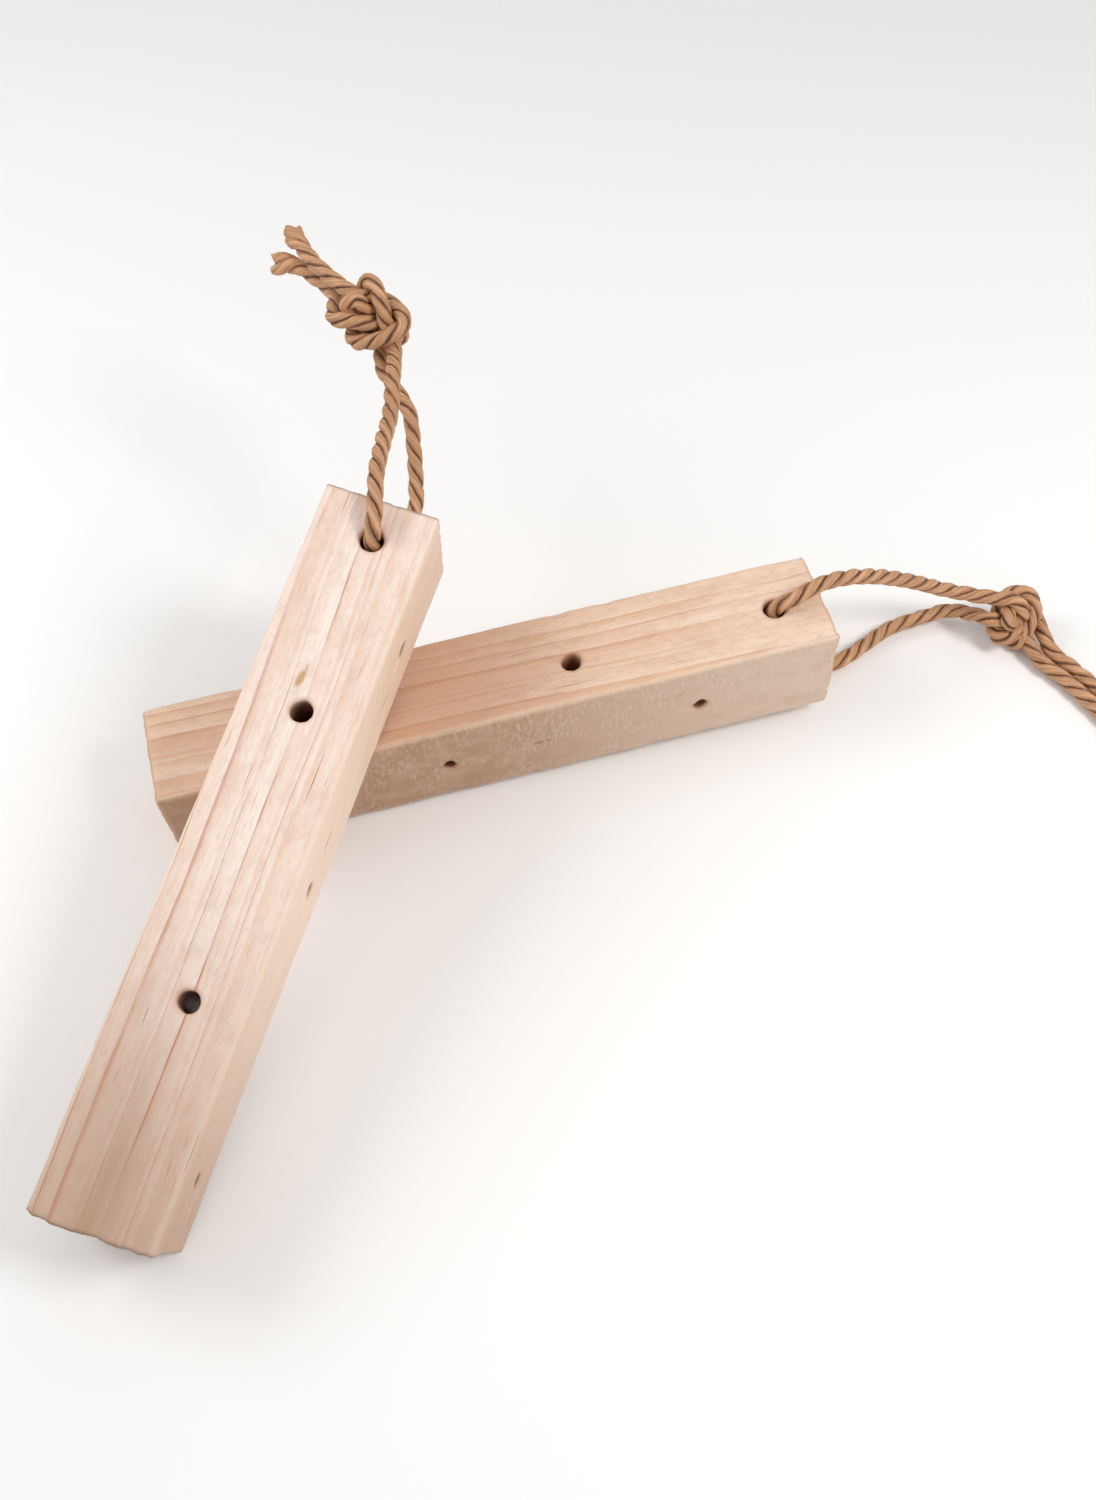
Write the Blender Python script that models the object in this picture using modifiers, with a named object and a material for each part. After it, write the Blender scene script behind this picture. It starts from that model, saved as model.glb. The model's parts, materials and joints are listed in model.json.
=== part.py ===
"""A pair of claves: two square pine bars, each with a hanging loop of laid paper cord.

The lower clave lies on the ground with its cord end lifted by the cord that runs under it.
The upper clave leans across it: its underside rests on the lower bar's front arris, and one
corner of its free end stands on the ground. Each clave has its own frame, with the origin
under the middle of the bar, +X along the bar to its cord end and +Z out of its top face.

Units are metres, +Z is up, and the origin is under the middle of the two bars.
"""

from math import asin, pi, radians, tan

import bmesh
import bpy
from mathutils import Matrix, Quaternion, Vector

# Bars
BAR_LENGTH = 0.157
BAR_SIDE = 0.0254
ARRIS_ROUND = 0.0005
SIDE_HOLE_HEIGHT = 0.012
FACE_HOLE_DIAMETER = 0.0047
SIDE_HOLE_DIAMETER = 0.0032
CORD_HOLE_DIAMETER = 0.0050
CORD_HOLE_FLARE = 0.0010

# Holes, as (distance along the bar, distance across it) from the bar's middle
LOWER_CORD_HOLE = (0.0669, -0.0004)
LOWER_FACE_HOLES = ((0.0181, -0.0018), (-0.0410, -0.0010))
LOWER_SIDE_HOLES = (0.0460, -0.0138, -0.0620)
UPPER_CORD_HOLE = (0.0691, -0.0008)
UPPER_FACE_HOLES = ((0.0291, -0.0005), (-0.0326, -0.0012))
UPPER_SIDE_HOLES = (0.0529, -0.0027, -0.0635)

# Cord
CORD_DIAMETER = 0.0036
CORD_LIFT = 0.0041          # height of the lower bar's underside at its cord hole
TOUCH_GAP = 0.0003
STEPS_PER_SPAN = 3

# How the upper clave lies on the lower one, in the lower clave's frame
REST_ALONG = -0.0582        # where the upper bar's middle lies along the lower bar
REST_PAST = 0.0210          # how far it lies past the front arris, down the upper underside
UPPER_YAW = radians(56.7)

# Knots, as centre and half sizes in their clave's frame
LOWER_KNOT = ((0.1313, -0.0026, 0.0009), (0.0062, 0.0082, 0.0066), 0.0)
UPPER_KNOT = ((0.1276, 0.0218, 0.0126), (0.0078, 0.0090, 0.0068), radians(58))

# Routes of the cords, chosen by hand in each clave's frame. A loop starts at the knot, comes
# back under the bar, goes up through the bore and returns over the bar's end to the knot.
LOWER_LOOP_ROUTE = (
    (0.1290, 0.0010, -0.0004), (0.1269, 0.0021, -0.0005), (0.1182, 0.0056, -0.0012),
    (0.1118, 0.0062, -0.0020), (0.1025, 0.0056, -0.0026), (0.0938, 0.0021, -0.0025),
    (0.0867, -0.0006, -0.0023), (0.0780, -0.0010, -0.0022), (0.0704, -0.0005, -0.0021),
    (0.0679, -0.0004, -0.0011), (0.0669, -0.0004, 0.0014), (0.0669, -0.0004, 0.0127),
    (0.0669, -0.0004, 0.0240), (0.0679, -0.0007, 0.0265), (0.0704, -0.0013, 0.0281),
    (0.0754, -0.0003, 0.0291), (0.0800, 0.0008, 0.0288), (0.0862, 0.0020, 0.0268),
    (0.0942, 0.0034, 0.0226), (0.1046, 0.0046, 0.0158), (0.1148, 0.0045, 0.0092),
    (0.1227, 0.0033, 0.0052), (0.1277, 0.0020, 0.0036), (0.1300, 0.0010, 0.0036),
)
UPPER_LOOP_ROUTE = (
    (0.1245, 0.0168, 0.0108), (0.1212, 0.0136, 0.0106), (0.1158, 0.0103, 0.0087),
    (0.1106, 0.0072, 0.0056), (0.1051, 0.0043, 0.0027), (0.0995, 0.0019, -0.0002),
    (0.0928, -0.0004, -0.0026), (0.0860, -0.0011, -0.0035), (0.0780, -0.0010, -0.0031),
    (0.0726, -0.0008, -0.0023), (0.0701, -0.0008, -0.0011), (0.0691, -0.0008, 0.0014),
    (0.0691, -0.0008, 0.0127), (0.0691, -0.0008, 0.0240), (0.0701, -0.0007, 0.0265),
    (0.0734, -0.0001, 0.0286), (0.0778, 0.0013, 0.0290), (0.0825, 0.0029, 0.0280),
    (0.0872, 0.0041, 0.0261), (0.0918, 0.0052, 0.0238), (0.1020, 0.0075, 0.0190),
    (0.1110, 0.0105, 0.0162), (0.1188, 0.0140, 0.0149), (0.1225, 0.0166, 0.0148),
)
LOWER_TAIL_ROUTES = {
    "left": ((0.1355, -0.0062, -0.0002), (0.1379, -0.0121, -0.0029), (0.1410, -0.0180, -0.0037),
             (0.1443, -0.0265, -0.0037), (0.1473, -0.0350, -0.0038), (0.1492, -0.0400, -0.0038)),
    "right": ((0.1322, -0.0085, -0.0010), (0.1341, -0.0138, -0.0032), (0.1373, -0.0198, -0.0037),
              (0.1404, -0.0278, -0.0037), (0.1432, -0.0360, -0.0038), (0.1455, -0.0415, -0.0038)),
}
UPPER_TAIL_ROUTES = {
    "left": ((0.1290, 0.0285, 0.0098), (0.1314, 0.0329, 0.0096), (0.1345, 0.0390, 0.0092),
             (0.1361, 0.0443, 0.0090), (0.1353, 0.0492, 0.0086)),
    "right": ((0.1285, 0.0270, 0.0142), (0.1305, 0.0311, 0.0142), (0.1343, 0.0373, 0.0138),
              (0.1392, 0.0437, 0.0127), (0.1422, 0.0472, 0.0119)),
}

# Finishes, as colour and roughness
LOWER_PINE = ((0.70, 0.42, 0.25), 0.60)
UPPER_PINE = ((0.80, 0.56, 0.38), 0.58)
PAPER_CORD = ((0.38, 0.20, 0.10), 0.72)


def clear_scene():
    for scene_object in list(bpy.data.objects):
        bpy.data.objects.remove(scene_object, do_unlink=True)


def new_collection(name):
    collection = bpy.data.collections.new(name)
    bpy.context.scene.collection.children.link(collection)
    return collection


def new_frame(name, collection, parent=None, matrix=None):
    """An empty that carries a sub-assembly or marks a joint's axis."""
    frame = bpy.data.objects.new(name, None)
    frame.empty_display_size = BAR_SIDE
    collection.objects.link(frame)
    frame.parent = parent
    if matrix is not None:
        frame.location = matrix.to_translation()
        frame.rotation_euler = matrix.to_euler()
    return frame


def set_finish(part, finish):
    colour, roughness = finish
    material = bpy.data.materials.new(part.name + "_finish")
    material.use_nodes = True
    shader = material.node_tree.nodes["Principled BSDF"]
    shader.inputs["Base Color"].default_value = (*colour, 1.0)
    shader.inputs["Roughness"].default_value = roughness
    shader.inputs["Metallic"].default_value = 0.0
    part.data.materials.append(material)


# Where each clave lies

def lower_clave_matrix():
    """The lower bar turns about its free end's bottom edge until the cord fits under it."""
    tilt = asin(CORD_LIFT / (BAR_LENGTH / 2 + LOWER_CORD_HOLE[0]))
    turn = Matrix.Rotation(-tilt, 4, "Y")
    free_edge = Vector((BAR_LENGTH / 2, 0.0, 0.0))
    return Matrix.Translation(turn @ free_edge - free_edge) @ turn, tilt


def upper_clave_matrix(lower, tilt):
    """The upper bar leans on the lower bar's front arris until its low corner meets z = 0."""
    yaw = Matrix.Rotation(UPPER_YAW, 4, "Z")
    low_corner = yaw @ Vector((-BAR_LENGTH / 2, -BAR_SIDE / 2, 0.0))
    arris_height = BAR_SIDE + TOUCH_GAP
    height = arris_height + tan(tilt) * (REST_ALONG + low_corner.x + BAR_LENGTH / 2)
    lean = Matrix.Rotation(asin(height / (REST_PAST - low_corner.y)), 4, "X")
    arris = Matrix.Translation((REST_ALONG, -BAR_SIDE / 2, arris_height))
    return lower @ arris @ lean @ Matrix.Translation((0.0, -REST_PAST, 0.0)) @ yaw


# Bars

def turned_cutter(name, profile, collection, clave, place, turn=0.0):
    """A cutter turned from a profile of (radius, height) points, with its axis on place."""
    mesh = bpy.data.meshes.new(name)
    edges = [(i, i + 1) for i in range(len(profile) - 1)]
    mesh.from_pydata([(radius, 0.0, height) for radius, height in profile], edges, [])
    cutter = bpy.data.objects.new(name, mesh)
    collection.objects.link(cutter)
    cutter.parent = clave
    cutter.location = place
    cutter.rotation_euler = (turn, 0.0, 0.0)
    cutter.hide_render = True
    cutter.display_type = "WIRE"
    screw = cutter.modifiers.new("turn", "SCREW")
    screw.steps = 20
    screw.render_steps = 20
    screw.use_merge_vertices = True
    screw.merge_threshold = 0.00001
    return cutter


def plain_profile(diameter):
    end = BAR_SIDE / 2 + 0.002
    return ((0.0, end), (diameter / 2, end), (diameter / 2, -end), (0.0, -end))


def flared_profile(diameter, flare):
    """A bore whose mouths open out at 45 degrees, worn by the cord."""
    face = BAR_SIDE / 2
    end = face + 0.002
    inner = diameter / 2
    outer = inner + flare + (end - face)
    return ((0.0, end), (outer, end), (inner, face - flare),
            (inner, flare - face), (outer, -end), (0.0, -end))


def make_bar(name, parts, cutters, clave, cord_hole, face_holes, side_holes, finish):
    mesh = bpy.data.meshes.new(name)
    bar = bpy.data.objects.new(name, mesh)
    blank = bmesh.new()
    bmesh.ops.create_cube(blank, size=1.0)
    bmesh.ops.scale(blank, vec=(BAR_LENGTH, BAR_SIDE, BAR_SIDE), verts=blank.verts)
    bmesh.ops.translate(blank, vec=(0.0, 0.0, BAR_SIDE / 2), verts=blank.verts)
    blank.to_mesh(mesh)
    blank.free()
    parts.objects.link(bar)
    bar.parent = clave

    rounding = bar.modifiers.new("arris", "BEVEL")
    rounding.width = ARRIS_ROUND
    rounding.segments = 2
    rounding.limit_method = "ANGLE"

    middle = BAR_SIDE / 2
    bores = [turned_cutter(name + "_cord_bore", flared_profile(CORD_HOLE_DIAMETER, CORD_HOLE_FLARE),
                           cutters, clave, (*cord_hole, middle))]
    for number, (along, across) in enumerate(face_holes, start=1):
        bores.append(turned_cutter(f"{name}_face_bore_{number}", plain_profile(FACE_HOLE_DIAMETER),
                                   cutters, clave, (along, across, middle)))
    for number, along in enumerate(side_holes, start=1):
        bores.append(turned_cutter(f"{name}_side_bore_{number}", plain_profile(SIDE_HOLE_DIAMETER),
                                   cutters, clave, (along, 0.0, SIDE_HOLE_HEIGHT), pi / 2))
    for bore in bores:
        cut = bar.modifiers.new(bore.name, "BOOLEAN")
        cut.operation = "DIFFERENCE"
        cut.solver = "EXACT"
        cut.object = bore
    set_finish(bar, finish)
    return bar


# Cords

def smooth_route(points):
    """Points along a centripetal Catmull-Rom curve through the route's own points."""
    nodes = [Vector(point) for point in points]
    nodes = [nodes[0] * 2 - nodes[1]] + nodes + [nodes[-1] * 2 - nodes[-2]]
    curve = []
    for p0, p1, p2, p3 in zip(nodes, nodes[1:], nodes[2:], nodes[3:]):
        t1 = (p1 - p0).length ** 0.5
        t2 = t1 + (p2 - p1).length ** 0.5
        t3 = t2 + (p3 - p2).length ** 0.5
        for step in range(STEPS_PER_SPAN):
            t = t1 + (t2 - t1) * step / STEPS_PER_SPAN
            a1 = p0.lerp(p1, t / t1)
            a2 = p1.lerp(p2, (t - t1) / (t2 - t1))
            a3 = p2.lerp(p3, (t - t2) / (t3 - t2))
            b1 = a1.lerp(a2, t / t2)
            b2 = a2.lerp(a3, (t - t1) / (t3 - t1))
            curve.append(b1.lerp(b2, (t - t1) / (t2 - t1)))
    curve.append(nodes[-2])
    return curve


def knot_clearance(point, direction, knot):
    """How far the rim of a cord's end stands off the knot, along lines from its centre."""
    centre, half_sizes, turn = knot
    unturn = Matrix.Rotation(-turn, 3, "Z")
    spoke = direction.orthogonal().normalized() * (CORD_DIAMETER / 2)
    clearances = []
    for eighth in range(8):
        rim_point = point + Quaternion(direction, eighth * pi / 4) @ spoke
        offset = unturn @ (rim_point - Vector(centre))
        reach = Vector(o / s for o, s in zip(offset, half_sizes)).length
        clearances.append(offset.length * (1.0 - 1.0 / reach))
    return min(clearances)


def start_outside(points, knot):
    """Cut a route's first points back until its end cap stands the touch gap off the knot."""
    points = list(points)
    while knot_clearance(points[1], (points[1] - points[0]).normalized(), knot) < TOUCH_GAP:
        points.pop(0)
    direction = (points[1] - points[0]).normalized()
    inner, outer = points[0], points[1]
    for halving in range(12):
        middle = (inner + outer) / 2
        if knot_clearance(middle, direction, knot) < TOUCH_GAP:
            inner = middle
        else:
            outer = middle
    points[0] = outer
    return points


def make_tube(name, points, parts, frame):
    curve = bpy.data.curves.new(name, "CURVE")
    curve.dimensions = "3D"
    curve.bevel_depth = CORD_DIAMETER / 2
    curve.bevel_resolution = 2
    curve.use_fill_caps = True
    spline = curve.splines.new("POLY")
    spline.points.add(len(points) - 1)
    for spline_point, point in zip(spline.points, points):
        spline_point.co = (*(point - frame.location), 1.0)
    tube = bpy.data.objects.new(name, curve)
    parts.objects.link(tube)
    tube.parent = frame
    set_finish(tube, PAPER_CORD)
    return tube


def make_knot(name, knot, parts, frame):
    """The outer shape of the doubled overhand knot that ties the two ends of a cord."""
    centre, half_sizes, turn = knot
    mesh = bpy.data.meshes.new(name)
    ball = bmesh.new()
    bmesh.ops.create_uvsphere(ball, u_segments=24, v_segments=14, radius=1.0)
    bmesh.ops.scale(ball, vec=half_sizes, verts=ball.verts)
    ball.to_mesh(mesh)
    ball.free()
    mesh.shade_smooth()
    body = bpy.data.objects.new(name, mesh)
    parts.objects.link(body)
    body.parent = frame
    body.location = Vector(centre) - frame.location
    body.rotation_euler = (0.0, 0.0, turn)
    set_finish(body, PAPER_CORD)
    return body


def make_cord(prefix, parts, clave, cord_hole, loop_route, knot, tail_routes):
    """A clave's loop, knot and tails, all hung on a frame that swivels about the bore's axis."""
    swivel = new_frame(prefix + "_cord_swivel", parts, clave,
                       Matrix.Translation((*cord_hole, BAR_SIDE / 2)))
    loop = start_outside(smooth_route(loop_route), knot)
    loop = start_outside(reversed(loop), knot)
    make_tube(prefix + "_cord_loop", loop, parts, swivel)
    make_knot(prefix + "_cord_knot", knot, parts, swivel)
    for side, route in tail_routes.items():
        tail = start_outside(smooth_route(route), knot)
        make_tube(f"{prefix}_cord_tail_{side}", tail, parts, swivel)


def centre_on_origin(bars, ground_frame):
    """Move everything so that the origin lies under the middle of the two bars."""
    bpy.context.view_layer.update()
    depsgraph = bpy.context.evaluated_depsgraph_get()
    corners = []
    for bar in bars:
        solid = bar.evaluated_get(depsgraph)
        corners += [solid.matrix_world @ vertex.co for vertex in solid.data.vertices]
    for axis in (0, 1):
        values = [corner[axis] for corner in corners]
        ground_frame.location[axis] = -(min(values) + max(values)) / 2
    ground_frame.location[2] = -min(corner[2] for corner in corners)


def build():
    clear_scene()
    parts = new_collection("claves")
    cutters = new_collection("cutters")
    ground = new_frame("ground", parts)
    lower_place, tilt = lower_clave_matrix()
    lower = new_frame("lower_clave", parts, ground, lower_place)
    upper = new_frame("upper_clave", parts, ground, upper_clave_matrix(lower_place, tilt))

    bars = [
        make_bar("lower_bar", parts, cutters, lower, LOWER_CORD_HOLE, LOWER_FACE_HOLES,
                 LOWER_SIDE_HOLES, LOWER_PINE),
        make_bar("upper_bar", parts, cutters, upper, UPPER_CORD_HOLE, UPPER_FACE_HOLES,
                 UPPER_SIDE_HOLES, UPPER_PINE),
    ]
    make_cord("lower", parts, lower, LOWER_CORD_HOLE, LOWER_LOOP_ROUTE, LOWER_KNOT,
              LOWER_TAIL_ROUTES)
    make_cord("upper", parts, upper, UPPER_CORD_HOLE, UPPER_LOOP_ROUTE, UPPER_KNOT,
              UPPER_TAIL_ROUTES)
    centre_on_origin(bars, ground)


build()
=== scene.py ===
"""Looks of a pair of claves: two square pine bars, each with a knotted loop of laid paper cord.

Each clave is built in its own frame, as in the CAD: the origin lies under the middle of the
bar, +X runs along the bar to its cord end and +Z out of its top face. All sizes are in metres.
"""
import json
from math import ceil, cos, pi, radians, sin

import bpy
import numpy as np
from mathutils import Matrix, Vector


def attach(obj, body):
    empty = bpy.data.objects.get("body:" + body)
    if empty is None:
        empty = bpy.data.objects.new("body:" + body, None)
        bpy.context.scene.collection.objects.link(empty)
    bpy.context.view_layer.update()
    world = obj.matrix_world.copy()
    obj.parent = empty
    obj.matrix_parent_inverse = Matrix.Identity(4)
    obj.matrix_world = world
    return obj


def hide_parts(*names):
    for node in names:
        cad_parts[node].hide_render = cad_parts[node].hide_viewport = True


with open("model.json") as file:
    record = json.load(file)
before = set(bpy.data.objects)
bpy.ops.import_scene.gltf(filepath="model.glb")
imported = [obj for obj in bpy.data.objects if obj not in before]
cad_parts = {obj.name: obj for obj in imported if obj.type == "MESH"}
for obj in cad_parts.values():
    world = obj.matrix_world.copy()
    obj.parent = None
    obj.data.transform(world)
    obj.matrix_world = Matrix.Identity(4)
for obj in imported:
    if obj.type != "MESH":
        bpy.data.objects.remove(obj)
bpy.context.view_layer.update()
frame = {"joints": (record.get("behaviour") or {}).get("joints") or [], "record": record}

# Bars
BAR_LENGTH = 0.157
BAR_SIDE = 0.0254
HALF_LENGTH = BAR_LENGTH / 2
HALF_SIDE = BAR_SIDE / 2
ARRIS_ROUND = 0.0004
TIMBER_VOXEL = 0.00052
SIDE_HOLE_HEIGHT = 0.012
FACE_HOLE_DIAMETER = 0.0047
SIDE_HOLE_DIAMETER = 0.0032
CORD_HOLE_DIAMETER = 0.0050
CORD_HOLE_FLARE = 0.0010
DRILL_SPARE = 0.002
SIDE_HOLE_GLOOM = 3.0       # how much sooner the painted shade fills a narrow side hole than a face hole

# Holes, as (distance along the bar, distance across it) from the bar's middle
LOWER_CORD_HOLE = (0.0669, -0.0004)
LOWER_FACE_HOLES = ((0.0181, -0.0018), (-0.0410, -0.0010))
LOWER_SIDE_HOLES = (0.0460, -0.0138, -0.0620)
UPPER_CORD_HOLE = (0.0691, -0.0008)
UPPER_FACE_HOLES = ((0.0291, -0.0005), (-0.0326, -0.0012))
UPPER_SIDE_HOLES = (0.0529, -0.0027, -0.0635)

# Cord
CORD_DIAMETER = 0.0036
PLIES = 3
PLY_RADIUS = 0.00100
PLY_OFFSET = 0.00088
LAY_PITCH = 0.0145
FOLDS_PITCH = 0.0060
TIP_OPENING = 0.0075        # length over which the plies open at a cut end
RING_STEP = 0.00042
RING_POINTS = 18

LOWER_KNOT = (0.1313, -0.0026, 0.0018)
UPPER_KNOT = (0.1266, 0.0214, 0.0126)

# A loop's route starts at the knot, comes back under the bar, goes up through the bore and
# returns over the bar's end to the knot.
LOWER_LOOP_ROUTE = (
    (0.1290, 0.0010, -0.0004), (0.1269, 0.0021, -0.0005), (0.1182, 0.0056, -0.0012),
    (0.1118, 0.0062, -0.0020), (0.1025, 0.0056, -0.0026), (0.0938, 0.0021, -0.0025),
    (0.0867, -0.0006, -0.0023), (0.0780, -0.0010, -0.0022), (0.0704, -0.0005, -0.0021),
    (0.0679, -0.0004, -0.0011), (0.0669, -0.0004, 0.0014), (0.0669, -0.0004, 0.0127),
    (0.0669, -0.0004, 0.0240), (0.0679, -0.0007, 0.0265), (0.0704, -0.0013, 0.0281),
    (0.0754, -0.0003, 0.0291), (0.0800, 0.0008, 0.0288), (0.0862, 0.0020, 0.0268),
    (0.0942, 0.0034, 0.0226), (0.1046, 0.0046, 0.0158), (0.1148, 0.0045, 0.0092),
    (0.1227, 0.0033, 0.0052), (0.1277, 0.0020, 0.0036), (0.1300, 0.0010, 0.0036),
)
UPPER_LOOP_ROUTE = (
    (0.1245, 0.0168, 0.0108), (0.1212, 0.0136, 0.0106), (0.1158, 0.0103, 0.0087),
    (0.1106, 0.0072, 0.0056), (0.1051, 0.0043, 0.0027), (0.0995, 0.0019, -0.0002),
    (0.0928, -0.0004, -0.0026), (0.0860, -0.0011, -0.0035), (0.0780, -0.0010, -0.0031),
    (0.0726, -0.0008, -0.0023), (0.0701, -0.0008, -0.0011), (0.0691, -0.0008, 0.0014),
    (0.0691, -0.0008, 0.0127), (0.0691, -0.0008, 0.0240), (0.0701, -0.0007, 0.0265),
    (0.0734, -0.0001, 0.0286), (0.0778, 0.0013, 0.0290), (0.0825, 0.0029, 0.0280),
    (0.0872, 0.0041, 0.0261), (0.0918, 0.0052, 0.0238), (0.1020, 0.0075, 0.0190),
    (0.1110, 0.0105, 0.0162), (0.1188, 0.0140, 0.0149), (0.1225, 0.0166, 0.0148),
)
LOWER_BORE_POINT = 11       # the point of the route that lies halfway up the bore
UPPER_BORE_POINT = 12
LOWER_TAIL_ROUTES = {
    "left": ((0.1355, -0.0062, -0.0002), (0.1379, -0.0121, -0.0029), (0.1410, -0.0180, -0.0037),
             (0.1443, -0.0265, -0.0037), (0.1473, -0.0350, -0.0038), (0.1492, -0.0400, -0.0038)),
    "right": ((0.1322, -0.0085, -0.0010), (0.1341, -0.0138, -0.0032), (0.1373, -0.0198, -0.0037),
              (0.1404, -0.0278, -0.0037), (0.1432, -0.0360, -0.0038), (0.1455, -0.0415, -0.0038)),
}
UPPER_TAIL_ROUTES = {
    "left": ((0.1290, 0.0285, 0.0098), (0.1314, 0.0329, 0.0096), (0.1345, 0.0390, 0.0092),
             (0.1361, 0.0443, 0.0090), (0.1353, 0.0492, 0.0086)),
    "right": ((0.1285, 0.0270, 0.0142), (0.1305, 0.0311, 0.0142), (0.1343, 0.0373, 0.0138),
              (0.1392, 0.0437, 0.0127), (0.1422, 0.0472, 0.0119)),
}


# Small helpers

def soft_step(low, high, values):
    """Rise smoothly from 0 at low to 1 at high."""
    t = np.clip((values - low) / (high - low), 0.0, 1.0)
    return t * t * (3 - 2 * t)


def deselect_all():
    """Leave edit mode and clear the selection."""
    if bpy.context.mode != "OBJECT":
        bpy.ops.object.mode_set(mode="OBJECT")
    bpy.ops.object.select_all(action="DESELECT")


def make_active(piece):
    """Select one piece alone and make it the active one."""
    deselect_all()
    piece.select_set(True)
    bpy.context.view_layer.objects.active = piece


def apply_modifier(piece, kind, **settings):
    """Add a modifier with these settings and apply it at once."""
    make_active(piece)
    modifier = piece.modifiers.new(kind.lower(), kind)
    for key, value in settings.items():
        setattr(modifier, key, value)
    bpy.ops.object.modifier_apply(modifier=modifier.name)


# Frames of the two claves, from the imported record

def clave_matrix(free_end, swivel):
    """A clave's frame, from the mount on its free end and the hinge in its cord bore."""
    record = frame["record"]
    mount = next(m for m in record["mounts"] if m["name"] == free_end)
    hinge = next(j for j in frame["joints"] if j["name"] == swivel)
    up = Vector(hinge["axis"]).normalized()
    along = -Vector(mount["axis"]).normalized()
    along = (along - up * along.dot(up)).normalized()
    origin = Vector(mount["pos_m"]) + along * HALF_LENGTH - up * HALF_SIDE
    turn = Matrix((along, up.cross(along), up)).transposed()
    return Matrix.Translation(origin) @ turn.to_4x4()


# Camera, lights and floor

CAMERA_PLACE = (-0.01786, -0.14879, 0.28072)
CAMERA_YAW = radians(-12.084)
CAMERA_DIP = radians(59.737)
CAMERA_ROLL = radians(-2.634)
CAMERA_LENS = 33.31
CAMERA_SHIFT = (0.0170, 0.0515)
SENSOR_WIDTH = 36.0
NEAR_CLIP = 0.01
WORLD_STRENGTH = 0.575
SOFTBOXES = {
    "window": {"place": (-0.36, 0.20, 0.40), "target": (0.0, 0.04, 0.02), "side": 0.30,
               "power": 1.05, "colour": (1.0, 0.99, 0.98)},
    "lamp": {"place": (0.32, -0.18, 0.44), "target": (0.05, 0.0, 0.02), "side": 0.17,
             "power": 1.28, "colour": (1.0, 0.985, 0.965)},
}
FLOOR_SIZE = 6.0
FLOOR_COLOUR = (0.95, 0.95, 0.945, 1.0)
FLOOR_ROUGHNESS = 0.85


def set_camera():
    """A camera above the pair, looking down at it."""
    data = bpy.data.cameras.new("camera")
    data.sensor_width = SENSOR_WIDTH
    data.lens = CAMERA_LENS
    data.shift_x, data.shift_y = CAMERA_SHIFT
    data.clip_start = NEAR_CLIP
    camera = bpy.data.objects.new("camera", data)
    bpy.context.scene.collection.objects.link(camera)
    look = (Matrix.Rotation(CAMERA_YAW, 4, "Z") @ Matrix.Rotation(pi / 2 - CAMERA_DIP, 4, "X")
            @ Matrix.Rotation(CAMERA_ROLL, 4, "Z"))
    camera.matrix_world = Matrix.Translation(CAMERA_PLACE) @ look
    bpy.context.scene.camera = camera


def softbox(name, place, target, side, power, colour):
    """A square area light that looks at its target."""
    data = bpy.data.lights.new(name, "AREA")
    data.shape = "SQUARE"
    data.size = side
    data.energy = power
    data.color = colour
    light = bpy.data.objects.new(name, data)
    bpy.context.scene.collection.objects.link(light)
    light.location = place
    light.rotation_euler = (Vector(target) - Vector(place)).to_track_quat("-Z", "Y").to_euler()


def light_studio():
    """An even white world and two soft lights."""
    bpy.context.scene.view_settings.view_transform = "Standard"
    world = bpy.data.worlds.new("studio")
    bpy.context.scene.world = world
    world.use_nodes = True
    background = world.node_tree.nodes["Background"]
    background.inputs["Color"].default_value = (1.0, 1.0, 1.0, 1.0)
    background.inputs["Strength"].default_value = WORLD_STRENGTH
    for name, settings in SOFTBOXES.items():
        softbox(name, **settings)


def lay_floor():
    """A wide pale floor, which belongs to the studio and not to the part."""
    deselect_all()
    bpy.ops.mesh.primitive_plane_add(size=FLOOR_SIZE, location=(0.0, 0.0, 0.0))
    floor = bpy.context.object
    floor.name = "floor"
    paper = bpy.data.materials.new("studio_paper")
    paper.use_nodes = True
    shader = paper.node_tree.nodes["Principled BSDF"]
    shader.inputs["Base Color"].default_value = FLOOR_COLOUR
    shader.inputs["Roughness"].default_value = FLOOR_ROUGHNESS
    floor.data.materials.append(paper)


# Cord routes

def smooth_route(points, steps):
    """Points along a centripetal Catmull-Rom curve through the route's own points."""
    nodes = [Vector(point) for point in points]
    nodes = [nodes[0] * 2 - nodes[1]] + nodes + [nodes[-1] * 2 - nodes[-2]]
    curve = []
    for p0, p1, p2, p3 in zip(nodes, nodes[1:], nodes[2:], nodes[3:]):
        t1 = (p1 - p0).length ** 0.5
        t2 = t1 + (p2 - p1).length ** 0.5
        t3 = t2 + (p3 - p2).length ** 0.5
        for step in range(steps):
            t = t1 + (t2 - t1) * step / steps
            a1 = p0.lerp(p1, t / t1)
            a2 = p1.lerp(p2, (t - t1) / (t2 - t1))
            a3 = p2.lerp(p3, (t - t2) / (t3 - t2))
            b1 = a1.lerp(a2, t / t2)
            b2 = a2.lerp(a3, (t - t1) / (t3 - t1))
            curve.append(b1.lerp(b2, (t - t1) / (t2 - t1)))
    curve.append(nodes[-2])
    return np.array(curve)


def route_length(points):
    """Length of a line of points."""
    return float(np.linalg.norm(np.diff(points, axis=0), axis=1).sum())


def evenly_spaced(points, step):
    """The same line with points about one step apart."""
    run = np.r_[0.0, np.cumsum(np.linalg.norm(np.diff(points, axis=0), axis=1))]
    count = max(2, int(round(run[-1] / step)) + 1)
    marks = np.linspace(0.0, run[-1], count)
    return np.stack([np.interp(marks, run, points[:, axis]) for axis in range(3)], axis=1)


# The knot: a doubled overhand knot, drawn tight by shortening its two strands

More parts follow.
